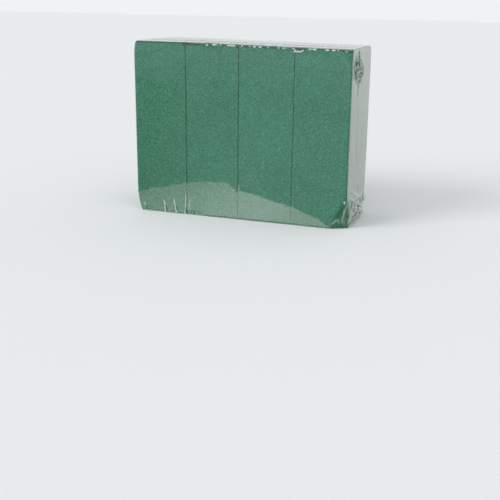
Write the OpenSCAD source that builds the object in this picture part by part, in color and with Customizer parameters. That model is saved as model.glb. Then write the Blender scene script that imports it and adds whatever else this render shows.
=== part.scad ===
// Shrink-wrapped pack of floral foam bricks, standing on end in a row.
// Millimetres. X runs along the row, Y from front to back, Z up from the face it stands on.

/* [Foam bricks] */
// Width of one brick, along the row
brick_w = 75; // [70:1:80]
// Depth of one brick, front to back
brick_d = 110; // [100:1:115]
// Height of one brick, standing on end
brick_h = 230; // [200:1:240]
// Radius of the worn edges of a brick
brick_edge_r = 1.5; // [1:0.5:4]
// Gap between neighbouring bricks
brick_gap = 0.2; // [0.1:0.1:0.5]

/* [Shrink film] */
// Thickness of the film
film_t = 0.3; // [0.2:0.1:0.5]
// Slack between the foam and the film
film_slack = 0.1; // [0.1:0.1:0.4]

/* [Trim seal] */
// Distance of the seal's plane in front of the pack's middle
seal_offset = 18; // [0:1:24]
// How far the right seal drifts back from the vent down to its ear
seal_drift = 13; // [0:1:20]
// Width of the bead of fused film
bead_w = 1.6; // [1:0.2:3]
// How far the bead stands proud of the film, less than its width
bead_h = 0.8; // [0.4:0.2:1]

/* [Vent in the right end] */
// Height of the lens-shaped vent on the seal
vent_h = 34; // [20:1:40]
// Width of the vent
vent_w = 30; // [10:1:34]
// Distance from the top of the pack down to the vent
vent_drop = 11; // [8:1:60]

/* [Gathered ears] */
// Width of an ear where it leaves the edge of the pack
ear_w = 40; // [20:1:50]
// Length of an ear, folded flat along the end
ear_l = 28; // [16:1:40]
// Thickness of an ear's folded layers
ear_t = 1.8; // [1:0.2:3]

/* [Hidden] */
$fn = 64;

brick_count = 4;
brick_step = brick_w + brick_gap;
// From the outside of the film to the foam.
wall = film_t + film_slack;
pack_w = brick_count * brick_step - brick_gap + 2 * wall;
pack_d = brick_d + 2 * wall;
pack_h = brick_h + 2 * wall;
// The film follows the foam's round edges at an even distance.
film_edge_r = brick_edge_r + wall;
end_x = pack_w / 2;
seal_y = -seal_offset;
vent_top = pack_h - vent_drop;
vent_z = vent_top - vent_h / 2;
// Seals and ears keep off the film's round edges, and beads keep off the vent's tips.
edge_clear = film_edge_r + 1;
tip_clear = 1.5;
ear_right_y = seal_y + seal_drift;
foam_green = [0.29, 0.51, 0.40];
film_clear = [0.86, 0.91, 0.90, 0.35];
seal_white = [0.90, 0.93, 0.92, 0.80];

// Rectangle with round corners, centred on the origin.
module rounded_rect(w, d, r) {
    square([w - 2 * r, d], center = true);
    square([w, d - 2 * r], center = true);
    for (sx = [-1, 1], sy = [-1, 1])
        translate([sx * (w / 2 - r), sy * (d / 2 - r)]) circle(r);
}

// Block standing on the XY plane, with all twelve edges rounded.
module rounded_block(w, d, h, r) {
    intersection() {
        linear_extrude(h) rounded_rect(w, d, r);
        translate([-w / 2, 0, h / 2]) rotate([90, 0, 90]) linear_extrude(w) rounded_rect(d, h, r);
        translate([0, d / 2, h / 2]) rotate([90, 0, 0]) linear_extrude(d) rounded_rect(w, h, r);
    }
}

// One brick of the row, numbered from the left.
module foam_brick(number) {
    from_middle = number - (brick_count + 1) / 2;
    color(foam_green)
        translate([from_middle * brick_step, 0, wall])
            rounded_block(brick_w, brick_d, brick_h, brick_edge_r);
}

// Lens outline where two equal circles cross, with its tips along Y.
module lens(w, h) {
    r = (h * h + w * w) / (4 * w);
    intersection() {
        translate([w / 2 - r, 0]) circle(r);
        translate([r - w / 2, 0]) circle(r);
    }
}

// Cutter for the vent: the lens, pushed through the right end of the film.
module vent_cut() {
    translate([end_x - film_edge_r, seal_y, vent_z]) rotate([90, 0, 90])
        linear_extrude(2 * film_edge_r) lens(vent_w, vent_h);
}

// The film: a closed skin round all the bricks, open only at the vent.
module shrink_film() {
    color(film_clear) difference() {
        rounded_block(pack_w, pack_d, pack_h, film_edge_r);
        translate([0, 0, film_t])
            rounded_block(pack_w - 2 * film_t, pack_d - 2 * film_t, pack_h - 2 * film_t,
                film_edge_r - film_t);
        vent_cut();
    }
}

// Bead of fused film standing on the XY plane along Z, its flat side towards -X.
module bead(length) {
    intersection() {
        cylinder(r = bead_w / 2, h = length);
        translate([0, -bead_w / 2, 0]) cube([bead_h, bead_w, length]);
    }
}

// Bead up an end, on side -1 (left) or 1 (right), from low to high, which are [y, z] points.
module end_bead(side, low, high) {
    run = high - low;
    color(seal_white) translate([side * end_x, low[0], low[1]])
        rotate([-atan2(run[0], run[1]), 0, 0])
            mirror([side < 0 ? 1 : 0, 0, 0]) bead(norm(run));
}

module end_seal_left() {
    end_bead(-1, [seal_y, edge_clear + ear_l], [seal_y, pack_h - edge_clear - ear_l]);
}

// The vent parts the right seal into a long bead, down to the ear, and a short one.
module end_seal_right() {
    end_bead(1, [ear_right_y, edge_clear + ear_l + tip_clear],
        [seal_y, vent_top - vent_h - tip_clear]);
    end_bead(1, [seal_y, vent_top + tip_clear], [seal_y, pack_h - edge_clear]);
}

// Bead along the top, from end to end.
module top_seal() {
    half = end_x - edge_clear;
    color(seal_white) translate([half, seal_y, pack_h]) rotate([0, -90, 0]) bead(2 * half);
}

// Gathered ear: widest at the edge of the pack, narrowing to a round tip.
module ear_outline() {
    tip_r = ear_l / 4;
    polygon([
        [-ear_w / 2, 0], [ear_w / 2, 0],
        [tip_r, ear_l - tip_r], [-tip_r, ear_l - tip_r]
    ]);
    translate([0, ear_l - tip_r]) circle(tip_r);
}

// Ear folded flat on the end at side -1 (left) or 1 (right), rising from the bottom edge at y.
module ear(side, y) {
    color(seal_white) translate([side < 0 ? -end_x - ear_t : end_x, y, edge_clear])
        rotate([90, 0, 90]) linear_extrude(ear_t) ear_outline();
}

module ear_left_bottom() { ear(-1, seal_y); }
module ear_left_top() { translate([0, 0, pack_h]) mirror([0, 0, 1]) ear(-1, seal_y); }
module ear_right_bottom() { ear(1, ear_right_y); }

foam_brick(1);  // foam_brick_1
foam_brick(2);  // foam_brick_2
foam_brick(3);  // foam_brick_3
foam_brick(4);  // foam_brick_4
shrink_film();
end_seal_left();
end_seal_right();
top_seal();
ear_left_bottom();
ear_left_top();
ear_right_bottom();
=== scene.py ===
"""Looks of a shrink-wrapped pack of four floral foam bricks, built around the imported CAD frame.

Shapes are worked out in millimetres in the pack's own frame, and turned into metres when a mesh is made.
The last number of every call of noise, creased and fan is its seed.
"""

import itertools
import math

import bmesh
import bpy
import numpy as np
from mathutils import Matrix, Vector

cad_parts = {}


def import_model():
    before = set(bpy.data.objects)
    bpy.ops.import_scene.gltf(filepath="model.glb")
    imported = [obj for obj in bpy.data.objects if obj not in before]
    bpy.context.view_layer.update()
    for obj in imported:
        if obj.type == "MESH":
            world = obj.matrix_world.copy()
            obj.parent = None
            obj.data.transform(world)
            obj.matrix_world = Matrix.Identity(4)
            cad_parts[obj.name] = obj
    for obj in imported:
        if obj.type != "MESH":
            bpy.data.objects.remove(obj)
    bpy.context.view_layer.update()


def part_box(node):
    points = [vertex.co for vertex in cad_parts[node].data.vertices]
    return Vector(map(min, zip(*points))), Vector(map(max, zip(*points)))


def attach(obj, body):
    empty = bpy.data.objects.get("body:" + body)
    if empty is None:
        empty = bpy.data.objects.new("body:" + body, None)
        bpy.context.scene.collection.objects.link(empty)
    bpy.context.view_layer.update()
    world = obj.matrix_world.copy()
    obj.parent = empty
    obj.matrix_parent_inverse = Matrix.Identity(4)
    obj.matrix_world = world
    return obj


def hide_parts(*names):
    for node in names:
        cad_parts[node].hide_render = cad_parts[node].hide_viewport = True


MM = 0.001
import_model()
scene = bpy.context.scene


def box_mm(node):
    """Lowest and highest corner of a CAD node, in millimetres."""
    low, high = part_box(node)
    return np.array(low) / MM, np.array(high) / MM


FILM_LOW, FILM_HIGH = box_mm("shrink_film")
LEFT, FRONT, BOTTOM = FILM_LOW
RIGHT, BACK, TOP = FILM_HIGH
BRICKS = [f"foam_brick_{n}" for n in range(1, 5)]
JOINTS = [(box_mm(a)[1][0] + box_mm(b)[0][0]) / 2 for a, b in zip(BRICKS, BRICKS[1:])]
# How much each brick stands above the nominal height, from the left.
BRICK_RISE = (2.2, 0.4, 0.0, -0.4)
# Colour of each brick, from the left.
FOAM_TINTS = [
    (0.056, 0.231, 0.132), (0.059, 0.239, 0.140), (0.062, 0.241, 0.145), (0.059, 0.236, 0.137),
]


# ---------------------------------------------------------------- numbers that vary over a surface

def smooth(value, start, end):
    """0 before start, 1 after end, and a smooth step between them."""
    t = np.clip((value - start) / (end - start), 0, 1)
    return t * t * (3 - 2 * t)


def bump(value, centre, width):
    """A bell of height 1 round centre."""
    return np.exp(-(((value - centre) / width) ** 2))


def noise(points, size, seed=0):
    """Smooth noise from -1 to 1 at each point, in lumps of about size (one number, or one per axis)."""
    p = points / np.asarray(size, float) + 37.7 * (seed + 1)
    cell = np.floor(p).astype(np.int64)
    f = p - cell
    w = f * f * f * (f * (f * 6 - 15) + 10)
    total = np.zeros(len(points))
    for corner in itertools.product((0, 1), repeat=3):
        at = cell + np.array(corner)
        mixed = at[:, 0] * 73856093 ^ at[:, 1] * 19349663 ^ at[:, 2] * 83492791
        mixed = (mixed ^ (mixed >> 13)) * 1274126177 & 0x7FFFFFFF
        mixed = (mixed ^ (mixed >> 15)) & 0xFFFF
        share = np.prod(np.where(corner, w, 1 - w), axis=1)
        total += share * (mixed / 32767.5 - 1)
    return total


def creased(points, size, seed=0):
    """Noise folded into sharp ridges, from 0 to 1."""
    return 1 - np.abs(noise(points, size, seed)) * 2


def fold(points, route, width, height, start=0.25, end=0.25):
    """A ridge along a route of points, rising over the first share of it and sinking over the last."""
    route = [np.array(p, float) for p in route]
    total = sum(np.linalg.norm(b - a) for a, b in zip(route, route[1:]))
    best, gone = np.zeros(len(points)), 0.0
    for a, b in zip(route, route[1:]):
        length = np.linalg.norm(b - a)
        t = np.clip((points - a) @ (b - a) / length**2, 0, 1)
        away = np.linalg.norm(points - a - t[:, None] * (b - a), axis=1)
        along = (gone + t * length) / total
        ends = smooth(along, 0, start) * smooth(1 - along, 0, end)
        best = np.maximum(best, height * np.exp(-((away / width) ** 2)) * ends)
        gone += length
    return best


# ---------------------------------------------------------------- meshes

def make_object(name, points, faces, material):
    """A smooth-shaded mesh object from points in millimetres."""
    mesh = bpy.data.meshes.new(name)
    mesh.from_pydata((np.asarray(points) * MM).tolist(), [], [list(map(int, f)) for f in faces])
    mesh.shade_smooth()
    mesh.materials.append(material)
    obj = bpy.data.objects.new(name, mesh)
    scene.collection.objects.link(obj)
    return obj


def spaced(low, high, step, fine=()):
    """Grid lines from low to high about a step apart, and closer in each (from, to, step) of fine."""

    def even(start, end, pitch):
        count = max(2, round((end - start) / pitch) + 1)
        return {round(float(v), 3) for v in np.linspace(start, end, count)}

    marks = even(low, high, step)
    for start, end, pitch in fine:
        start, end = max(start, low), min(end, high)
        margin = pitch * 0.4
        marks = {m for m in marks if not start - margin < m < end + margin or m in (low, high)}
        marks |= even(start, end, pitch)
    return np.array(sorted(marks | {round(float(low), 3), round(float(high), 3)}))


def box_grid(lines):
    """Points and outward quads of a box whose faces are cut along the grid lines of each axis."""
    count = [len(line) for line in lines]
    quads = []
    for axis in range(3):
        u, v = (axis + 1) % 3, (axis + 2) % 3
        a, b = np.meshgrid(np.arange(count[u] - 1), np.arange(count[v] - 1), indexing="ij")
        for side in (0, count[axis] - 1):
            turn = ((0, 0), (1, 0), (1, 1), (0, 1)) if side else ((0, 0), (0, 1), (1, 1), (1, 0))
            ring = []
            for da, db in turn:
                at = [None] * 3
                at[axis], at[u], at[v] = np.full_like(a, side), a + da, b + db
                ring.append((at[0] * count[1] + at[1]) * count[2] + at[2])
            quads.append(np.stack(ring, -1).reshape(-1, 4))
    keys, quads = np.unique(np.concatenate(quads), return_inverse=True)
    index = np.stack(np.unravel_index(keys, count), -1)
    points = np.stack([lines[axis][index[:, axis]] for axis in range(3)], -1)
    return points, quads.reshape(-1, 4)


def rounded(points, low, high, radius):
    """Moves points of a box onto the same box with round edges. Returns them and their outward normals."""
    inner = np.clip(points, low + radius, high - radius)
    out = points - inner
    normal = out / np.linalg.norm(out, axis=1)[:, None]
    return inner + normal * radius, normal


def refine(points, faces, where, cuts):
    """Cuts the faces whose middles pass the test where into smaller ones."""
    mesh = bpy.data.meshes.new("refine")
    mesh.from_pydata(points.tolist(), [], faces.tolist())
    bm = bmesh.new()
    bm.from_mesh(mesh)
    bpy.data.meshes.remove(mesh)
    middles = np.array([f.calc_center_median() for f in bm.faces])
    chosen = where(middles)
    edges = {e for f, pick in zip(bm.faces, chosen) if pick for e in f.edges}
    edges = sorted(edges, key=lambda e: e.index)
    bmesh.ops.subdivide_edges(bm, edges=edges, cuts=cuts, use_grid_fill=True)
    bmesh.ops.triangulate(bm, faces=[f for f in bm.faces if len(f.verts) > 4])
    bm.verts.index_update()
    points = np.array([v.co for v in bm.verts])
    faces = [[v.index for v in f.verts] for f in bm.faces]
    bm.free()
    return points, faces


# ---------------------------------------------------------------- materials

def new_material(name):
    """A material with no node but its output. Returns it, its nodes, its links and that output."""
    material = bpy.data.materials.new(name)
    material.use_nodes = True
    nodes, links = material.node_tree.nodes, material.node_tree.links
    nodes.clear()
    output = nodes.new("ShaderNodeOutputMaterial")
    return material, nodes, links, output


def ramp(nodes, stops):
    """A colour ramp node with (place, grey or colour) stops."""
    node = nodes.new("ShaderNodeValToRGB")
    elements = node.color_ramp.elements
    while len(elements) < len(stops):
        elements.new(0.5)
    for element, (place, value) in zip(elements, stops):
        element.position = place
        colour = (value,) * 3 if isinstance(value, (int, float)) else value
        element.color = (*colour, 1)
    return node


def multiplied(nodes, links, first, second):
    """The product of two colours, as a socket."""
    node = nodes.new("ShaderNodeMix")
    node.data_type, node.blend_type = "RGBA", "MULTIPLY"
    node.inputs[0].default_value = 1
    links.new(first, node.inputs[6])
    links.new(second, node.inputs[7])
    return node.outputs[2]


def foam_material(name, base, seed):
    """Dry phenolic foam: matte, with fine open cells, soft mottling, a slow change over the block, and
    painted shade where its painted_shade attribute darkens it.
    """
    material, nodes, links, output = new_material(name)
    shader = nodes.new("ShaderNodeBsdfPrincipled")
    shader.inputs["Roughness"].default_value = 0.95
    shader.inputs["Specular IOR Level"].default_value = 0.15
    place = nodes.new("ShaderNodeTexCoord")
    shift = nodes.new("ShaderNodeMapping")
    shift.inputs["Location"].default_value = (seed * 0.37, seed * 0.11, seed * 0.23)
    # Turned, so that no face lies along the noise's own grid and all bricks have the same grain.
    shift.inputs["Rotation"].default_value = (0.6, 0.5, 0.4)
    links.new(place.outputs["Object"], shift.inputs["Vector"])

    def pattern(kind, scale, **inputs):
        node = nodes.new(kind)
        node.inputs["Scale"].default_value = scale
        for key, value in inputs.items():
            node.inputs[key].default_value = value
        links.new(shift.outputs["Vector"], node.inputs["Vector"])
        return node

    # Each pattern's scale is its number of lumps in a metre.
    cells = pattern("ShaderNodeTexVoronoi", 900)
    specks = pattern("ShaderNodeTexNoise", 1150, Detail=2.0, Roughness=0.6)
    mottle = pattern("ShaderNodeTexNoise", 470, Detail=3.0, Roughness=0.7)
    slow = pattern("ShaderNodeTexNoise", 14, Detail=2.0)

    # Open cells are dark, and cell walls that catch the light are paler and greyer than the foam.
    dark = tuple(max(0.01, c * 0.42 - 0.02) for c in base)
    light = tuple(c * 2.0 + 0.085 for c in base)
    tone = ramp(nodes, [(0.28, dark), (0.5, base), (0.72, light)])
    speck_share = nodes.new("ShaderNodeMix")
    speck_share.data_type = "FLOAT"
    speck_share.inputs[0].default_value = 0.5
    links.new(specks.outputs["Fac"], speck_share.inputs[2])
    links.new(mottle.outputs["Fac"], speck_share.inputs[3])
    links.new(speck_share.outputs[0], tone.inputs["Fac"])
    slow_tone = ramp(nodes, [(0.3, 0.93), (0.7, 1.06)])
    links.new(slow.outputs["Fac"], slow_tone.inputs["Fac"])
    tint = multiplied(nodes, links, tone.outputs["Color"], slow_tone.outputs["Color"])
    # Painted shade: the colour is darkened where the painted_shade attribute is high, along the joints, the
    # upper front edge, the notches and behind the vent.
    shade_attribute = nodes.new("ShaderNodeAttribute")
    shade_attribute.attribute_name = "painted_shade"
    shade_tone = ramp(nodes, [(0.0, 1.0), (1.0, (0.18, 0.22, 0.21))])
    links.new(shade_attribute.outputs["Fac"], shade_tone.inputs["Fac"])
    shaded = multiplied(nodes, links, tint, shade_tone.outputs["Color"])
    links.new(shaded, shader.inputs["Base Color"])

    pores = nodes.new("ShaderNodeBump")
    pores.inputs["Strength"].default_value = 0.5
    pores.inputs["Distance"].default_value = 0.0004
    links.new(cells.outputs["Distance"], pores.inputs["Height"])
    grain = nodes.new("ShaderNodeBump")
    grain.inputs["Strength"].default_value = 0.6
    grain.inputs["Distance"].default_value = 0.0008
    links.new(speck_share.outputs[0], grain.inputs["Height"])
    links.new(pores.outputs["Normal"], grain.inputs["Normal"])
    links.new(grain.outputs["Normal"], shader.inputs["Normal"])
    links.new(shader.outputs[0], output.inputs["Surface"])
    return material


def film_material(name, clear, head_on, gloss_roughness, wrinkle, milk=0.0):
    """Shrink film: see-through head on, mirror-like at a grazing angle, with fine tension wrinkles, and white
    where painted highlights are set in its painted_highlight attribute.

    clear is the tint of what is seen through it, head_on is the share that it mirrors when seen
    squarely, wrinkle is the strength of its wrinkles, and milk is how milky it is all over.
    """
    material, nodes, links, output = new_material(name)
    see = nodes.new("ShaderNodeBsdfTransparent")
    see.inputs["Color"].default_value = (*clear, 1)
    gloss = nodes.new("ShaderNodeBsdfGlossy")
    gloss.inputs["Color"].default_value = (1, 1, 1, 1)
    gloss.inputs["Roughness"].default_value = gloss_roughness

    facing = nodes.new("ShaderNodeLayerWeight")
    facing.inputs["Blend"].default_value = 0.5
    grazing = nodes.new("ShaderNodeMath")
    grazing.operation = "POWER"
    grazing.inputs[1].default_value = 5
    links.new(facing.outputs["Facing"], grazing.inputs[0])
    mirror = nodes.new("ShaderNodeMapRange")
    mirror.inputs["To Min"].default_value = head_on
    links.new(grazing.outputs[0], mirror.inputs["Value"])

    place = nodes.new("ShaderNodeTexCoord")
    fine = nodes.new("ShaderNodeTexNoise")
    fine.inputs["Scale"].default_value = 45
    fine.inputs["Detail"].default_value = 2
    links.new(place.outputs["Object"], fine.inputs["Vector"])
    relief = nodes.new("ShaderNodeBump")
    relief.inputs["Strength"].default_value = wrinkle
    relief.inputs["Distance"].default_value = 0.001
    links.new(fine.outputs["Fac"], relief.inputs["Height"])
    links.new(relief.outputs["Normal"], gloss.inputs["Normal"])

    mix = nodes.new("ShaderNodeMixShader")
    links.new(mirror.outputs["Result"], mix.inputs[0])
    links.new(see.outputs[0], mix.inputs[1])
    links.new(gloss.outputs[0], mix.inputs[2])
    # Milky all over by the given share, and white painted highlights where the painted_highlight attribute
    # marks glints.
    haze_and_highlight = nodes.new("ShaderNodeBsdfDiffuse")
    haze_and_highlight.inputs["Color"].default_value = (0.82, 0.88, 0.86, 1)
    highlight_attribute = nodes.new("ShaderNodeAttribute")
    highlight_attribute.attribute_name = "painted_highlight"
    share = nodes.new("ShaderNodeMapRange")
    share.inputs["To Min"].default_value = milk
    links.new(highlight_attribute.outputs["Fac"], share.inputs["Value"])
    milk_and_highlight = nodes.new("ShaderNodeMixShader")
    links.new(share.outputs["Result"], milk_and_highlight.inputs[0])
    links.new(mix.outputs[0], milk_and_highlight.inputs[1])
    links.new(haze_and_highlight.outputs[0], milk_and_highlight.inputs[2])
    links.new(milk_and_highlight.outputs[0], output.inputs["Surface"])
    return material


def matt_material(name, colour):
    """A surface with no gloss at all."""
    material, nodes, links, output = new_material(name)
    shader = nodes.new("ShaderNodeBsdfDiffuse")
    shader.inputs["Color"].default_value = (*colour, 1)
    links.new(shader.outputs[0], output.inputs["Surface"])
    return material


# ---------------------------------------------------------------- camera, lights and floor

# Camera: its place in metres, and how far it turns left, looks down and leans, in degrees.
CAMERA_PLACE = (0.3908, -1.1063, 0.3021)
CAMERA_TURN, CAMERA_DOWN, CAMERA_ROLL = 19.5, 17.14, 0.63
SENSOR_WIDTH, FOCAL_LENGTH = 36, 61.2
# Height of the floor, just under the pack, and half its width, in metres.
FLOOR_HEIGHT, FLOOR_HALF = -0.0004, 8.0
# Height of the mirrored sheet, and where it starts in front of the pack.
SHEET_HEIGHT, SHEET_START = -0.0003, FRONT * MM - 0.0041
# Outline of the mirrored sheet, from its corner on the left of the pack round to the one on the right.
SHEET_OUTLINE = [
    (-0.24, SHEET_START), (-0.20, -0.16), (-0.178, -0.21), (-0.16, -0.24), (-0.145, -0.258),
    (-0.125, -0.27), (-0.105, -0.273), (-0.085, -0.258), (-0.06, -0.22), (-0.005, -0.184),
    (0.05, -0.149), (0.13, -0.071), (0.158, SHEET_START),
]


def camera():
    """The photograph's view: from the front, a little to the right and above."""
    data = bpy.data.cameras.new("camera")
    data.sensor_width, data.lens = SENSOR_WIDTH, FOCAL_LENGTH
    obj = bpy.data.objects.new("camera", data)
    turn, down, roll = math.radians(CAMERA_TURN), math.radians(CAMERA_DOWN), math.radians(CAMERA_ROLL)
    obj.matrix_world = (
        Matrix.Translation(CAMERA_PLACE)
        @ Matrix.Rotation(turn, 4, "Z")
        @ Matrix.Rotation(math.pi / 2 - down, 4, "X")
        @ Matrix.Rotation(roll, 4, "Z")
    )
    scene.collection.objects.link(obj)
    scene.camera = obj


def flat_piece(name, corners, height, material):
    """A level sheet of the stage, from its corners in metres."""
    mesh = bpy.data.meshes.new(name)
    mesh.from_pydata([(x, y, height) for x, y in corners], [], [list(range(len(corners)))])
    mesh.materials.append(material)
    obj = bpy.data.objects.new(name, mesh)
    scene.collection.objects.link(obj)
    return obj


def floor():
    """A wide pale floor to look at, and a bright sheet lying on it that only the glossy film mirrors."""
    pale = matt_material("pale_floor", (0.90, 0.91, 0.92))
    corners = [(FLOOR_HALF * a, FLOOR_HALF * b) for a, b in ((-1, -1), (1, -1), (1, 1), (-1, 1))]
    wide = flat_piece("floor", corners, FLOOR_HEIGHT, pale)
    wide.visible_glossy = False
    sheet = flat_piece("bright_sheet", SHEET_OUTLINE, SHEET_HEIGHT, sheet_material())
    sheet.visible_camera = sheet.visible_diffuse = sheet.visible_shadow = False
    sheet.visible_transmission = False


def sheet_material():
    """A glow that only mirrored rays see, brightest in front of the middle of the row."""
    material, nodes, links, output = new_material("sheet_glow")
    place = nodes.new("ShaderNodeNewGeometry")
    split = nodes.new("ShaderNodeSeparateXYZ")
    links.new(place.outputs["Position"], split.inputs[0])
    along = nodes.new("ShaderNodeMapRange")
    along.inputs["From Min"].default_value = -0.20
    along.inputs["From Max"].default_value = 0.20
    links.new(split.outputs["X"], along.inputs["Value"])
    stops = [(0.0, 0.5), (0.16, 0.6), (0.28, 0.73), (0.4, 0.9), (0.54, 1.0), (0.72, 0.8), (1.0, 0.7)]
    tone = ramp(nodes, stops)
    links.new(along.outputs["Result"], tone.inputs["Fac"])
    glow = nodes.new("ShaderNodeEmission")
    glow.inputs["Strength"].default_value = 1.05
    links.new(tone.outputs["Color"], glow.inputs["Color"])
    links.new(glow.outputs[0], output.inputs["Surface"])
    return material


def mirrored_room(nodes, links):
    """The room that mirrored rays see, by their direction: bright behind the pack and dim in front."""
    place = nodes.new("ShaderNodeTexCoord")
    split = nodes.new("ShaderNodeSeparateXYZ")
    links.new(place.outputs["Generated"], split.inputs[0])
    x, y, z = split.outputs

    def step(source, start, end):
        node = nodes.new("ShaderNodeMapRange")
        node.interpolation_type = "SMOOTHSTEP"
        node.inputs["From Min"].default_value = start
        node.inputs["From Max"].default_value = end
        links.new(source, node.inputs["Value"])
        return node.outputs["Result"]

    def product(first, second):
        node = nodes.new("ShaderNodeMath")
        node.operation = "MULTIPLY"
        links.new(first, node.inputs[0])
        links.new(second, node.inputs[1])
        return node.outputs[0]

    def blend(share, first, second):
        node = nodes.new("ShaderNodeMix")
        node.data_type = "RGBA"
        links.new(share, node.inputs[0])
        for socket, value in ((node.inputs[6], first), (node.inputs[7], second)):
            if isinstance(value, tuple):
                socket.default_value = (*value, 1)
            else:
                links.new(value, socket)
        return node.outputs[2]

    # The room in front is dim, and darkest low on the right, with a bluish window low on the left.
    dim = blend(step(x, 0.15, -0.15), (0.015, 0.025, 0.025), (0.19, 0.30, 0.30))
    dim = blend(step(x, -0.36, -0.45), dim, (0.11, 0.17, 0.165))
    window = product(step(z, -0.13, -0.05), step(x, 0.0, -0.22))
    front = blend(window, dim, (0.27, 0.38, 0.42))
    sides = blend(step(x, -0.50, -0.70), front, (0.42, 0.45, 0.46))
    sides = blend(step(x, 0.55, 0.80), sides, (0.42, 0.44, 0.45))
    behind = blend(step(z, -0.22, 0.08), (0.65, 0.65, 0.65), (0.91, 0.91, 0.92))
    # Just above the horizon the backdrop is greyer again.
    behind = blend(step(z, 0.0, 0.05), behind, (0.76, 0.77, 0.78))
    room = blend(step(y, -0.35, 0.15), sides, behind)
    # Above the white backdrop the room is dim again, but for a soft box on either side and one overhead.
    room = blend(step(z, 0.17, 0.26), room, (0.16, 0.18, 0.19))
    left_box = product(step(x, -0.50, -0.60), product(step(z, 0.10, 0.16), step(z, 0.50, 0.40)))
    room = blend(product(left_box, step(y, 0.25, 0.05)), room, (0.6, 0.61, 0.62))
    right_box = product(step(x, 0.60, 0.72), product(step(z, 0.18, 0.24), step(z, 0.62, 0.55)))
    room = blend(product(right_box, step(y, 0.35, 0.15)), room, (1.6, 1.62, 1.65))
    return blend(product(step(z, 0.80, 0.86), step(y, -0.05, 0.40)), room, (1.5, 1.52, 1.55))


def world():
    """White to look at, soft even light on matt surfaces, and the studio room for mirrored rays."""
    made = bpy.data.worlds.new("studio")
    scene.world = made
    made.use_nodes = True
    nodes, links = made.node_tree.nodes, made.node_tree.links
    nodes.clear()
    output = nodes.new("ShaderNodeOutputWorld")
    mirrored = nodes.new("ShaderNodeBackground")
    links.new(mirrored_room(nodes, links), mirrored.inputs["Color"])
    soft = nodes.new("ShaderNodeBackground")
    soft.inputs["Color"].default_value = (0.97, 0.99, 1.0, 1)
    soft.inputs["Strength"].default_value = 0.62
    white = nodes.new("ShaderNodeBackground")
    white.inputs["Color"].default_value = (0.88, 0.89, 0.90, 1)
    rays = nodes.new("ShaderNodeLightPath")
    glossy_or_soft = nodes.new("ShaderNodeMixShader")
    seen = nodes.new("ShaderNodeMixShader")
    links.new(rays.outputs["Is Glossy Ray"], glossy_or_soft.inputs[0])
    links.new(soft.outputs[0], glossy_or_soft.inputs[1])
    links.new(mirrored.outputs[0], glossy_or_soft.inputs[2])
    links.new(rays.outputs["Is Camera Ray"], seen.inputs[0])
    links.new(glossy_or_soft.outputs[0], seen.inputs[1])
    links.new(white.outputs[0], seen.inputs[2])
    links.new(seen.outputs[0], output.inputs["Surface"])


def sun(name, comes_from, spread, power):
    """A soft distant light, which lights the whole floor evenly and isn't mirrored in the film."""
    data = bpy.data.lights.new(name, "SUN")
    data.angle, data.energy = math.radians(spread), power
    obj = bpy.data.objects.new(name, data)
    obj.rotation_euler = (-Vector(comes_from)).to_track_quat("-Z", "Y").to_euler()
    obj.visible_glossy = False
    scene.collection.objects.link(obj)


def lights():
    """A key light from the left and a fill light from above."""
    sun("key", (-0.75, -0.85, 0.70), 30, 1.15)
    sun("fill", (0.3, -0.7, 1.2), 60, 0.40)


# ---------------------------------------------------------------- what the shrinking did to the whole row

# Corners that are rubbed rounder than the rest: the corner, the extra radius and how far it reaches.
ROUND_CORNERS = [
    ((RIGHT, BACK, BOTTOM), 9, 20), ((LEFT, FRONT, TOP), 4, 10), ((LEFT, BACK, TOP), 3, 12),
    ((RIGHT, BACK, TOP), 2.5, 10), ((LEFT, BACK, BOTTOM), 5, 16), ((RIGHT, FRONT, BOTTOM), 3, 12),
]
# The crushed corner low on the right of the front: three points of the plane that cuts it off.
CRUSHED = [np.array(p) for p in ((149.0, FRONT, 43.0), (128.0, FRONT, 2.0), (RIGHT, FRONT + 13.0, 0.0))]
# Notches where the upper front edge has crumbled: place along the row, half width, depth, reach back.
NOTCHES = [(-75.6, 3.2, 2.6, 5.0), (0.4, 3.6, 2.4, 5.0), (80.5, 7.0, 3.4, 7.5), (144.0, 9.0, 1.5, 5.0)]
# The upper front edge is worn down this much, this far back.
WORN_DEPTH, WORN_REACH = 0.7, 2.6
# The lower left edge is pulled in this far, from this height down and over this much of the row.
TUCK, TUCK_HEIGHT, TUCK_REACH = 5.5, 34.0, 45.0


def edge_radius(points, base):
    """Radius of the edges near each point."""
    radius = np.full(len(points), float(base))
    for corner, extra, reach in ROUND_CORNERS:
        away = np.linalg.norm(points - np.array(corner), axis=1)
        radius += extra * np.exp(-((away / reach) ** 2))
    return radius


def settled(points, rise, gap=0.0):
    """Lifts the tops by rise, tucks in the lower left edge, and presses in the notches and crushed corner.

    gap is how much deeper the foam is pressed in than the film over it.
    """
    moved = points.copy()
    x, y, z = points.T
    for place, half, depth, reach in NOTCHES:
        across = smooth(1 - np.abs(x - place) / half, 0, 0.6)
        deep = 1 - smooth(y - FRONT, reach * 0.55, reach)
        moved[:, 2] -= (depth + gap) * across * deep * smooth(z, TOP - depth - 3, TOP - 1)
    moved[:, 2] -= WORN_DEPTH * (1 - smooth(y - FRONT, 0.3, WORN_REACH)) * smooth(z, TOP - 3, TOP - 0.5)
    moved[:, 2] += rise * smooth(points[:, 2], TOP * 0.6, TOP)
    low = 1 - np.clip(points[:, 2] / TUCK_HEIGHT, 0, 1)
    moved[:, 0] += TUCK * low**2 * smooth(LEFT + TUCK_REACH - points[:, 0], 0, TUCK_REACH)
    a, b, c = CRUSHED
    normal = np.cross(b - a, c - a)
    normal /= -np.linalg.norm(normal) * np.sign(normal[1])
    past = (moved - a) @ normal + gap
    # The press eases in over a millimetre, so that no hard line is left.
    eased = np.where(past > 1, past, (past + 1) ** 2 / 4)
    return moved - np.where(past > -1, eased, 0)[:, None] * normal


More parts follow.
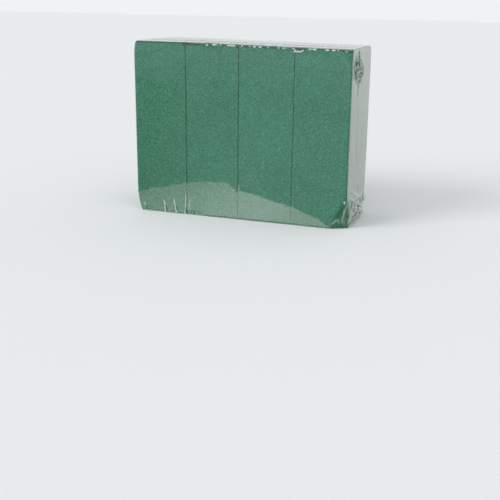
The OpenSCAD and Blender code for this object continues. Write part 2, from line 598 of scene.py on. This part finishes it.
# Middle and half sizes of the vent, across and up the right end, and how deep that end's skin reaches.
VENT_Y, VENT_Z, VENT_HALF_Y, VENT_HALF_Z = -20.0, 203.0, 25.0, 17.0
END_SKIN = 3
# Holes torn in the vent: across, up, half width, half height, tilt in degrees.
HOLES = [
    (-40, 210, 4.0, 5.5, -15), (-39, 202, 5.0, 6.0, 8), (-34, 194.5, 5.0, 3.0, -35),
    (-31, 214.0, 8.0, 1.2, -38), (-20, 210.0, 8.0, 1.3, -34), (-27, 205, 3.5, 1.2, -30),
    (-12, 203.5, 4.2, 1.8, 0), (-3, 198, 5.0, 1.8, -8), (-9, 194.0, 4.0, 1.3, 12), (-20, 190.5, 4.5, 1.1, 20),
]


def vent_depth(points):
    """1 in the middle of the vent, 0 on its rim, and negative outside."""
    across = (points[:, 1] - VENT_Y) / VENT_HALF_Y
    up = (points[:, 2] - VENT_Z) / VENT_HALF_Z
    return 1 - across**2 - up**2 - 0.5 * across * up


def hole_depth(points):
    """1 in the middle of one of the vent's holes, 0 on its rim and negative outside."""
    best = np.full(len(points), -9.0)
    for y, z, half_y, half_z, tilt in HOLES:
        turn = math.radians(tilt)
        across = (points[:, 1] - y) * math.cos(turn) + (points[:, 2] - z) * math.sin(turn)
        up = (points[:, 2] - z) * math.cos(turn) - (points[:, 1] - y) * math.sin(turn)
        best = np.maximum(best, 1 - (across / half_y) ** 2 - (up / half_z) ** 2)
    return np.where(points[:, 0] > RIGHT - END_SKIN, best + 0.25 * noise(points, 1.6, 30), -9)


# ---------------------------------------------------------------- the foam bricks

# How much painted shade darkens the bricks' edges at each joint, from the left, and along their backs.
SEAM_SHADE, BACK_SHADE = (0.4, 0.45, 0.0), 0.8
# Size of a brick's faces over its sides and along its edges, and how far from an edge the small ones reach.
BRICK_STEP, BRICK_EDGE_STEP, BRICK_EDGE_BAND = 2.6, 0.5, 3.0
# Where the last brick has small faces behind the vent, by axis: from, to and their size.
GOUGE_LINES = {1: (-50, 10, 1.2), 2: (182, 222, 1.0)}
# Radius of the bricks' edges, and how deep the foam is gouged behind the holes in the film.
BRICK_RADIUS, GOUGE_DEPTH = 0.6, 8.0


def shade_amount(points, from_edge, seed):
    """Painted shade on the foam, 0 to 1: dark along its edges at the joints and backs, on the worn upper
    edge, in the notches and behind the vent, where shade falls.
    """
    x, y, z = points.T
    # Painted shade: dark lines along the bricks' edges at the joints and along their backs.
    seam = np.maximum(np.interp(x, JOINTS, SEAM_SHADE), BACK_SHADE * smooth(y, BACK - 12, BACK - 4))
    darkening = seam * np.exp(-from_edge / 0.45) * (1 + 0.5 * noise(points, 11, seed))
    # Painted shade: a dark line along the worn upper front edge, and dark notches.
    darkening += 0.8 * (1 - smooth(y - FRONT, 1.2, WORN_REACH + 0.6)) * smooth(z, TOP - 1.2, TOP - 0.2)
    for place, half, depth, reach in NOTCHES:
        across = smooth(1 - np.abs(x - place) / half, 0, 0.4)
        darkening += 1.3 * across * smooth(z, TOP - depth * 1.5, TOP - 0.8) * (y < FRONT + reach)
    # Painted shade in the gouge behind the vent and its holes.
    in_vent = smooth(vent_depth(points), 0, 0.3)
    in_hole = smooth(hole_depth(points), -0.7, 0.2)
    darkening += smooth(x, RIGHT - END_SKIN, RIGHT - 1) * (0.3 * in_vent + 0.6 * in_hole)
    return np.clip(darkening, 0, 1)


def foam_brick(index, material):
    """One block, saw-cut flat, with worn edges, rubbed corners and crumbs missing."""
    node = BRICKS[index]
    low, high = box_mm(node)
    is_last = index == len(BRICKS) - 1
    lines = []
    for axis, (a, b) in enumerate(zip(low, high)):
        fine = [GOUGE_LINES[axis]] if is_last and axis in GOUGE_LINES else []
        fine.append((a, a + BRICK_EDGE_BAND, BRICK_EDGE_STEP))
        fine.append((b - BRICK_EDGE_BAND, b, BRICK_EDGE_STEP))
        lines.append(spaced(a, b, BRICK_STEP, fine))
    points, quads = box_grid(lines)
    near = np.sort(np.minimum(points - low, high - points), axis=1)
    at_edge = np.exp(-near[:, 1] / 1.2)
    radius = edge_radius(points, BRICK_RADIUS) + 0.2 * noise(points, 9, index) * at_edge
    placed, normal = rounded(points, low, high, radius[:, None])
    lost = 0.10 + 0.06 * noise(points, 16, index + 4) + 0.04 * noise(points, 4, index + 8)
    lost += at_edge * (0.16 + 0.26 * noise(points, 2.6, index + 12))
    if is_last:
        # The block is gouged behind the torn vent.
        gouge = GOUGE_DEPTH * smooth(hole_depth(placed), -0.4, 0.5) + smooth(vent_depth(points), 0, 0.3)
        lost += gouge * (normal[:, 0] > 0.9)
    placed -= normal * np.maximum(lost, 0.02)[:, None]
    # Facing sides are a little wavy together, so that no light shows through between two bricks.
    inward = smooth(RIGHT - np.abs(points[:, 0]), 3, 30)
    placed[:, 0] += 0.6 * noise(points, (60, 26, 40), 90) * inward
    placed = settled(placed, BRICK_RISE[index], gap=0.5)
    brick = make_object(f"brick_{index + 1}", placed, quads, material)
    # Painted shade for the foam's colour, kept on each point.
    painted_shade = brick.data.attributes.new("painted_shade", "FLOAT", "POINT")
    painted_shade.data.foreach_set("value", shade_amount(points, near[:, 1], index + 16))
    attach(brick, "root")
    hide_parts(node)
    return brick


# ---------------------------------------------------------------- the film

# Folds on the right end: points across and up, half width and height.
END_FOLDS = [
    ([(-50, 48), (-28, 44.5), (-12, 38), (14, 30), (24, 24), (36, 16), (44, 9)], 1.7, 3.2),
    ([(-48, 42), (-22, 31), (-9, 26), (6, 23)], 1.4, 2.2),
    ([(-46, 44), (-47, 30), (-49, 15), (-51, 2)], 2.4, 1.8),
    ([(-27, 38), (-29, 25), (-35, 11), (-44, 0)], 2.6, 3.0),
    ([(-17, 30), (-22, 17), (-36, 0)], 2.4, 3.0),
    ([(-6, 27), (-11, 15), (-28, 0)], 2.4, 2.8),
    ([(5, 24), (-1, 12), (-18, 0)], 2.2, 2.8),
    ([(16, 20), (10, 10), (-6, 0)], 2.2, 2.6),
    ([(28, 16), (20, 7), (6, 0)], 2.0, 2.4),
    ([(39, 12), (32, 5), (20, 0)], 2.0, 2.0),
    ([(45, 30), (51, 26), (50, 20), (44, 18), (41, 23), (45, 28)], 1.7, 2.6),
    ([(-24, 230), (-23, 222), (-26, 215)], 2.4, 1.4),
    ([(-20, 188), (-19.5, 178), (-18.5, 160)], 2.2, 0.9),
]
# Tension wrinkles that rise from the lower edge of the front: place along the row, length and height.
FRONT_WRINKLES = [
    (-108, 18, 2.0), (-101, 10, 1.2), (-92, 19, 2.2), (-77.5, 20, 2.0), (-71, 11, 1.3), (-65.5, 10, 1.2),
    (-60, 9, 1.1), (-55, 8, 1.0), (-120, 9, 0.8), (-142, 12, 1.6), (-40, 7, 0.7), (-12, 6, 0.6),
    (20, 6, 0.4), (52, 7, 0.5), (92, 6, 0.5),
]
# Folds of the crushed corner low on the right of the front, as points, half width and height.
CORNER_FOLDS = [
    ([(149.5, FRONT, 33), (148.5, FRONT, 36), (147.5, FRONT, 40)], 0.9, 1.4),
    ([(143, FRONT, 3), (144, FRONT, 10), (146, FRONT, 19)], 0.8, 0.5),
    ([(149, FRONT, 1), (148.5, FRONT, 14), (149, FRONT, 24), (150.5, FRONT, 34)], 0.8, 1.7),
    ([(RIGHT, FRONT + 1, 1), (RIGHT, FRONT + 2, 12), (RIGHT, FRONT + 5, 26)], 1.0, 1.8),
]
# Painted highlights, white glints on the film's folds and edges: points along the front, half width and
# strength.
HIGHLIGHT_ROUTES = [
    ([(74, TOP - 4.2), (78, TOP - 4.4), (83, TOP - 3.4), (87, TOP - 2.4)], 1.4, 1.0),
    ([(0.4, TOP - 2.0), (2.6, TOP - 1.8)], 1.0, 1.0), ([(-46, TOP - 2.4), (-42, TOP - 2.2)], 0.6, 0.7),
    ([(148.6, 38), (148, 35)], 0.8, 1.0), ([(149, 26), (148.5, 12), (148, 4)], 0.6, 0.15),
    ([(-110, 18), (-108.6, 10), (-107, 3)], 0.65, 0.55), ([(-94.6, 21), (-93, 11), (-90.6, 3)], 0.65, 0.55),
    ([(-76.6, 30), (-77.0, 16), (-77.3, 3)], 0.6, 0.35), ([(-70, 22), (-71.5, 8)], 1.6, 0.14),
    ([(-107.2, 3.6), (-106.6, 2.4)], 0.9, 0.8), ([(-90.8, 3.6), (-89.6, 2.4)], 0.9, 0.9),
    ([(-101, 4), (-100.4, 2.6)], 0.7, 0.6), ([(-77.6, 3.6), (-77, 2.4)], 0.9, 0.9),
    ([(-66, 4), (-65.4, 2.8)], 0.7, 0.5), ([(-60.5, 3.6), (-59.5, 2.4)], 0.7, 0.6),
    ([(-55, 3.6), (-54.2, 2.6)], 0.7, 0.5), ([(-143, 12), (-141.5, 6)], 0.9, 0.35),
]
FILM_THICKNESS = 0.15
# Radius of the film's edges.
FILM_RADIUS = 1.9
# Size of the film's faces over its sides, along its edges and beside the joints.
FILM_STEP, FILM_EDGE_STEP, FILM_JOINT_STEP = 4.2, 1.2, 1.5
# How far from an edge and from a joint the small ones reach.
FILM_EDGE_BAND, FILM_JOINT_BAND = 2.4, 3
# How many cuts each edge of a busy face gets.
BUSY_CUTS = 5
# Where the ears of the left end are gathered, across it.
LEFT_EAR_Y = -18


def film_rise(points):
    """The film is taut over the tops, from the high brick on the left to the right end."""
    ends = [LEFT, JOINTS[0], RIGHT]
    return np.interp(points[:, 0], ends, [BRICK_RISE[0], BRICK_RISE[0], BRICK_RISE[-1]])


def busy(middles):
    """True where the film has folds that need small faces."""
    x, y, z = middles.T
    end = RIGHT - x < 0.5
    low_right = (x > RIGHT - 26) & (z < 50)
    wrinkles = (x < -52) & (z < 30) & (y < FRONT + 0.5)
    vent = end & (np.abs(y - VENT_Y) < VENT_HALF_Y + 6) & (np.abs(z - VENT_Z) < VENT_HALF_Z + 12)
    top_edge = (z > TOP - 5) & (y < FRONT + 4)
    for place, half, depth, reach in NOTCHES:
        top_edge |= (np.abs(x - place) < half + 2) & (y < FRONT + reach + 2) & (z > TOP - depth - 5)
    left_ears = (x < LEFT + 1) & ((z < 34) | (z > TOP - 34)) & (y < 8)
    return low_right | wrinkles | vent | top_edge | left_ears


def fan(points, centre, across, reach, count, seed):
    """Pleats that spread upwards and across from a gathered point, about count in half a turn, 0 to 1."""
    away = points - np.array(centre)
    side, up = away[:, across], away[:, 2]
    r = np.hypot(side, up)
    angle = np.arctan2(up, side)
    key = np.stack([angle * count / math.pi, r / reach * 1.6, np.full(len(r), 0.5)], -1)
    return creased(key, 1, seed) * smooth(r, 1, 9) * (1 - smooth(r, reach * 0.45, reach))


def front_relief(points, facing):
    """Wrinkles, puckers and folds of the front face and of its upper and lower edges."""
    x, y, z = points.T
    rise = np.zeros(len(points))
    for at, length, height in FRONT_WRINKLES:
        t = np.clip((length - z) / length, 0, 1)
        middle = at + 3 * (t - 0.5)
        rise += facing * height * t**1.6 * bump(x, middle, 1.3 + 0.8 * t) * smooth(z, 0.3, 2.5)
    for joint in JOINTS:
        rise -= 0.12 * bump(x, joint, 1.3) * facing
    near_front = smooth(FRONT + 9 - y, 0, 8)
    rise += 0.5 * creased(points, (6, 30, 30), 3) * bump(z, TOP, 4) * near_front * smooth(x, -70, -40)
    rise += 0.5 * creased(points, (5, 40, 40), 5) * bump(z, 1.5, 3.5) * smooth(z, 0, 1.5) * near_front
    under_notch = [(73, FRONT, TOP - 4), (80, FRONT, TOP - 5), (88, FRONT, TOP - 3)]
    rise += fold(points, under_notch, 1.0, 0.9, 0.2)
    for route, width, height in CORNER_FOLDS:
        rise += fold(points, route, width, height, 0.15, 0.35)
    rise += 0.6 * fan(points, (146, FRONT, -4), 0, 34, 15, 41) * smooth(x, 146, 150) * facing
    upper_corner = [(134, FRONT, TOP - 2), (143, FRONT, TOP - 5), (150, FRONT + 1, TOP - 12)]
    rise += fold(points, upper_corner, 0.9, 0.8, 0.2)
    return rise


def right_relief(points):
    """Folds, crumpling and the torn vent of the right end."""
    y, z = points[:, 1], points[:, 2]
    rise = np.zeros(len(points))
    for route, width, height in END_FOLDS:
        rise += fold(points, [(RIGHT, a, b) for a, b in route], width, height)
    # Long soft wrinkles down the lower half, drawn towards the gathered foot.
    drawn = points.copy()
    drawn[:, 1] = (y + 5) / (0.55 + np.clip(z, 0, 200) / 260) - 5
    rise += 0.24 * creased(drawn, (30, 9, 75), 51) * (1 - smooth(z, 90, 170))
    rise += 0.07 * creased(drawn, (30, 5, 40), 52)
    # The gathered foot.
    foot = smooth(44 - 0.35 * (y + 28) - z, 0, 14)
    rise += 1.1 * fan(points, (RIGHT, FRONT + 4, -4), 1, 84, 13, 53) * foot
    crumpled = smooth(y, -34, -16) * smooth(40 - 0.40 * (y + 28) - z, 0, 8) * smooth(52 - y, 0, 10)
    lumps = 1.7 * creased(points, (10, 12, 5.5), 54) + 0.5 * creased(points, (5, 5, 3.5), 55) - 0.6
    rise += crumpled * lumps
    depth = vent_depth(points)
    inside = smooth(depth, -0.05, 0.25)
    rise += 0.9 * bump(depth, 0, 0.20)
    lumps = 1.6 * creased(points, (8, 8, 5), 56) + 0.6 * creased(points, (4, 4, 2.6), 57) - 0.4
    rise += inside * lumps
    rise += 0.35 * creased(points, (9, 5, 9), 58) * smooth(depth, -1.6, 0) * (1 - inside)
    return rise


def left_relief(points):
    """Wrinkles drawn towards the two ears of the left end."""
    y, z = points[:, 1], points[:, 2]
    rise = 0.30 * creased(points, (30, 11, 80), 61) + 0.10 * creased(points, (30, 6, 40), 62)
    rise *= smooth(y, FRONT, FRONT + 12)
    for corner_z, seed in ((-4, 63), (TOP + 4, 65)):
        mirrored = points.copy()
        mirrored[:, 2] = np.abs(z - corner_z)
        near = (1 - smooth(mirrored[:, 2], 20, 46)) * smooth(y, FRONT + 6, FRONT + 26)
        pleats = 1.1 * fan(mirrored, (LEFT, LEFT_EAR_Y, 0), 1, 60, 15, seed)
        rise += near * (pleats + 0.5 * creased(points, (6, 7, 6), seed + 1))
    return rise


def film_relief(points, normal):
    """How far the film stands off its smooth shape at each point."""
    x, z = points[:, 0], points[:, 2]
    right, back, top = smooth(normal, 0.3, 0.9).T
    left, front, _ = smooth(-normal, 0.3, 0.9).T
    rise = 0.12 + 0.10 * noise(points, 44, 1) + 0.045 * noise(points, 14, 2)
    rise += front_relief(points, front) + right * right_relief(points) + left * left_relief(points)
    rise += top * (0.10 * noise(points, (60, 16, 60), 4))
    for joint in JOINTS:
        rise -= (back + top) * 0.10 * bump(x, joint, 2)
    rise += back * 0.25 * creased(points, (30, 30, 60), 6) * bump(z, 0, 30)
    return rise


def highlight_strength(points):
    """Painted highlights: 0 where the film is clear, and up to 1 where white glints are painted on folds, the
    upper front edge and the crumpled foot.
    """
    x, y, z = points.T
    white = np.zeros(len(points))
    for route, width, strength in HIGHLIGHT_ROUTES:
        on_front = [(a, FRONT, b) for a, b in route]
        white = np.maximum(white, fold(points, on_front, width, strength, 0.12, 0.06))
    # Painted highlights: broken white glints along the upper front edge.
    upper_edge = bump(z, TOP - 1.2, 0.8) * smooth(FRONT + 1.5 - y, 0, 1) * smooth(x, -52, -40)
    white += 0.75 * upper_edge * smooth(creased(points, (4, 20, 20), 7), 0.15, 0.7)
    # Painted highlights: white glints on the crumpled foot of the right end.
    foot = smooth(x, RIGHT - 1.5, RIGHT - 0.5) * smooth(y, -30, -18) * smooth(30 - z, 0, 6)
    foot *= smooth(44 - y, 0, 6)
    white += 0.7 * foot * smooth(creased(points, (7, 6, 4), 8), 0.74, 0.95)
    return np.clip(white, 0, 1)


def film_piece(material):
    """The film: one closed skin, wrinkled, gathered at the corners and torn open at the vent."""
    lines = []
    for axis, (a, b) in enumerate(zip(FILM_LOW, FILM_HIGH)):
        fine = [(a, a + FILM_EDGE_BAND, FILM_EDGE_STEP), (b - FILM_EDGE_BAND, b, FILM_EDGE_STEP)]
        if axis == 0:
            fine += [(j - FILM_JOINT_BAND, j + FILM_JOINT_BAND, FILM_JOINT_STEP) for j in JOINTS]
        lines.append(spaced(a, b, FILM_STEP, fine))
    points, faces = refine(*box_grid(lines), busy, BUSY_CUTS)
    radius = edge_radius(points, FILM_RADIUS)
    placed, normal = rounded(points, FILM_LOW, FILM_HIGH, radius[:, None])
    height = film_relief(placed, normal)
    skin = settled(placed, film_rise(placed)) + normal * height[:, None]
    skin[:, 2] = np.maximum(skin[:, 2], 0)

    mesh = bpy.data.meshes.new("film")
    mesh.from_pydata(skin.tolist(), [], faces)
    bm = bmesh.new()
    bm.from_mesh(mesh)
    bm.faces.ensure_lookup_table()
    # Painted highlights, kept on each point for the film's colour.
    painted_highlight = bm.verts.layers.float.new("painted_highlight")
    for vertex, white in zip(bm.verts, highlight_strength(placed)):
        vertex[painted_highlight] = white
    middles = np.array([f.calc_center_median() for f in bm.faces])
    torn = [f for f, depth in zip(bm.faces, hole_depth(middles)) if depth > 0]
    bmesh.ops.delete(bm, geom=torn, context="FACES")
    soften_rims(bm)
    bm.normal_update()
    bmesh.ops.solidify(bm, geom=bm.faces[:], thickness=FILM_THICKNESS)
    for vertex in bm.verts:
        vertex.co *= MM
    for face in bm.faces:
        face.smooth = True
    bm.to_mesh(mesh)
    bm.free()
    mesh.materials.append(material)
    film = bpy.data.objects.new("film", mesh)
    scene.collection.objects.link(film)
    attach(film, "root")
    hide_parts("shrink_film")
    return film


def soften_rims(bm):
    """Drops loose points, and rounds the saw-toothed borders of the holes."""
    loose = [v for v in bm.verts if not v.link_faces]
    bmesh.ops.delete(bm, geom=loose, context="VERTS")
    border = [v for v in bm.verts if v.is_boundary]
    for _ in range(6):
        moved = {}
        for vertex in border:
            beside = [e.other_vert(vertex).co for e in vertex.link_edges if e.is_boundary]
            moved[vertex] = vertex.co * 0.4 + sum(beside, Vector()) / len(beside) * 0.6
        for vertex, place in moved.items():
            vertex.co = place


# ---------------------------------------------------------------- seals and ears

# Points across and up an ear.
EAR_COLUMNS, EAR_ROWS = 97, 49
# Half width of a bead, its height on the right end and elsewhere, and the distance between its rings.
BEAD_HALF_WIDTH, LOW_BEAD, HIGH_BEAD, BEAD_STEP = 0.55, 0.22, 0.5, 1.3
# How far the beads stand off the film's nominal box on the right, on the left and on top.
RIGHT_STAND, LEFT_STAND, TOP_STAND = 0.25, 0.35, 0.25
# How far the right seal keeps below and above the vent.
BELOW_VENT, ABOVE_VENT = 2, 3


def thin_sheet(name, points, faces, material, white):
    """A sheet of film with thickness, from its middle surface and the painted highlight at each point."""
    obj = make_object(name, points, faces, material)
    obj.data.attributes.new("painted_highlight", "FLOAT", "POINT").data.foreach_set("value", white)
    bm = bmesh.new()
    bm.from_mesh(obj.data)
    bmesh.ops.solidify(bm, geom=bm.faces[:], thickness=FILM_THICKNESS * MM)
    bm.to_mesh(obj.data)
    bm.free()
    obj.data.shade_smooth()
    return obj


def grid_faces(columns, rows):
    """Quads of a grid whose points run along its columns first."""
    a, b = np.meshgrid(np.arange(columns - 1), np.arange(rows - 1), indexing="ij")
    first = (b * columns + a).ravel()
    return np.stack([first, first + 1, first + columns + 1, first + columns], -1)


def ear(node, name, side, seed, puff, material, upside_down=False):
    """A gathered ear of spare film: pleats that narrow to a curled, ragged tip.

    side is -1 on the left end and 1 on the right, and puff is how far its pleats stand off.
    """
    low, high = box_mm(node)
    middle, length = (low[1] + high[1]) / 2, high[2] - low[2]
    # u runs across the ear from -1 to 1, and v up it from 0 to 1.
    v, u = np.meshgrid(np.linspace(0, 1, EAR_ROWS), np.linspace(-1, 1, EAR_COLUMNS), indexing="ij")
    u, v = u.ravel(), v.ravel()
    half = (high[1] - low[1]) / 2 * (1 - 0.68 * v**0.8)
    # Broad pleats that waver up the ear, finer wrinkles across them, and a tip that curls away.
    key = np.stack([u * 3.2 + 0.4 * np.sin(5 * v + seed), v * 1.3, np.full(len(u), 0.3)], -1)
    pleat = creased(key, 1, seed)
    fine = creased(key * (2.3, 3.0, 1), 1, seed + 1)
    off = 0.3 + puff * ((3.0 - 1.4 * v) * pleat + 0.7 * fine + 2.0 * v**4 * (1 - 0.4 * u**2))
    off *= 1 - 0.6 * np.abs(u) ** 6
    up = v * length * (0.94 + 0.05 * noise(key, 0.6, seed + 2)) - 0.8
    across = middle + half * u + 0.8 * noise(key, 0.9, seed + 3)
    wall = RIGHT if side > 0 else LEFT
    height = high[2] - up if upside_down else low[2] + up
    # The ear lies on the film's own folds, and follows the tucked-in edge on the left.
    under = np.stack([np.full(len(u), wall), across, height], -1)
    off += film_relief(under, np.tile((side, 0.0, 0.0), (len(u), 1)))
    points = np.stack([wall + side * off, across, height], -1)
    if side < 0:
        low_edge = 1 - np.clip(height / TUCK_HEIGHT, 0, 1)
        points[:, 0] += TUCK * low_edge**2
    # Painted highlights: white glints on the crests of the pleats.
    white = 0.5 * smooth(pleat, 0.8, 1) + 0.35 * smooth(fine, 0.82, 1)
    piece = thin_sheet(name, points, grid_faces(EAR_COLUMNS, EAR_ROWS), material, white)
    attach(piece, "root")
    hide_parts(node)
    return piece


def bead(node, name, routes, outward, height, material):
    """Beads of fused film along nearly straight routes of points. Each is a low ridge, a little uneven."""
    outward = np.array(outward, float)
    points, faces = [], []
    around = np.linspace(0, math.pi, 7)
    for route in routes:
        route = np.array(route, float)
        marks = np.append(0, np.cumsum(np.linalg.norm(np.diff(route, axis=0), axis=1)))
        along = (route[-1] - route[0]) / np.linalg.norm(route[-1] - route[0])
        beside = np.cross(outward, along)
        count = max(3, int(marks[-1] / BEAD_STEP))
        base = len(points)
        for i in range(count):
            t = i / (count - 1)
            place = np.array([[np.interp(t * marks[-1], marks, axis) for axis in route.T]])
            wide = BEAD_HALF_WIDTH * (1 + 0.35 * noise(place, 5, 71)[0])
            tall = height * (1 + 0.45 * noise(place, 3.4, 72)[0])
            drift = beside * 0.35 * noise(place, 14, 73)[0]
            fade = min(1, 4 * t + 0.25, 4 * (1 - t) + 0.25)
            for angle in around:
                out = tall * fade * math.sin(angle) - 0.1
                points.append(place[0] + drift + beside * wide * fade * math.cos(angle) + outward * out)
        ring = len(around)
        for i in range(count - 1):
            for j in range(ring):
                k = (j + 1) % ring
                a, b = base + i * ring, base + (i + 1) * ring
                faces.append([a + j, b + j, b + k, a + k])
        faces.append(list(range(base, base + ring)))
        faces.append(list(range(base + (count - 1) * ring, base + count * ring))[::-1])
    piece = make_object(name, points, faces, material)
    bm = bmesh.new()
    bm.from_mesh(piece.data)
    bmesh.ops.recalc_face_normals(bm, faces=bm.faces[:])
    bm.to_mesh(piece.data)
    bm.free()
    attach(piece, "root")
    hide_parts(node)
    return piece


def seals():
    """The fused beads up both ends and along the top. Returns them."""
    look = film_material(
        "film_fused", (0.97, 0.98, 0.97), head_on=0.10, gloss_roughness=0.12, wrinkle=0.2, milk=0.06,
    )
    seal_y, foot_y = (np.mean(box_mm(node), axis=0)[1] for node in ("top_seal", "ear_right_bottom"))
    low, high = box_mm("end_seal_right")
    out = RIGHT + RIGHT_STAND
    vent_low, vent_high = VENT_Z - VENT_HALF_Z - BELOW_VENT, VENT_Z + VENT_HALF_Z + ABOVE_VENT
    right = bead("end_seal_right", "seal_right", [
        ((out, foot_y, low[2]), (out, seal_y, vent_low)),
        ((out, seal_y, vent_high), (out, seal_y, high[2])),
    ], (1, 0, 0), LOW_BEAD, look)
    low, high = box_mm("end_seal_left")
    out = LEFT - LEFT_STAND
    route = ((out, seal_y, low[2]), (out, seal_y, high[2]))
    left = bead("end_seal_left", "seal_left", [route], (-1, 0, 0), HIGH_BEAD, look)
    low, high = box_mm("top_seal")
    rises = film_rise(np.array([low, (JOINTS[0], 0, 0), high]))
    places = [(x, seal_y, TOP + rise + TOP_STAND) for x, rise in zip((low[0], JOINTS[0], high[0]), rises)]
    top = bead("top_seal", "seal_top", [places], (0, 0, 1), HIGH_BEAD, look)
    return [right, left, top]


def ears():
    """The gathered corners of the film, folded flat on the ends. Returns them."""
    look = film_material(
        "film_gathered", (0.985, 0.99, 0.985), head_on=0.05, gloss_roughness=0.05, wrinkle=0.1, milk=0.015,
    )
    return [
        ear("ear_left_bottom", "left_bottom_ear", side=-1, seed=81, puff=1.0, material=look),
        ear("ear_left_top", "left_top_ear", side=-1, seed=85, puff=1.0, material=look, upside_down=True),
        ear("ear_right_bottom", "right_bottom_ear", side=1, seed=89, puff=0.2, material=look),
    ]


# ---------------------------------------------------------------- the whole pack

scene.view_settings.view_transform = "Standard"
camera()
floor()
world()
lights()

bricks = [
    foam_brick(i, foam_material(f"foam_{i + 1}", tint, i + 1)).name for i, tint in enumerate(FOAM_TINTS)
]
clear = film_material("film_clear", (0.99, 0.995, 0.99), head_on=0.10, gloss_roughness=0.03, wrinkle=0.05)
film = film_piece(clear)
on_film = seals() + ears()
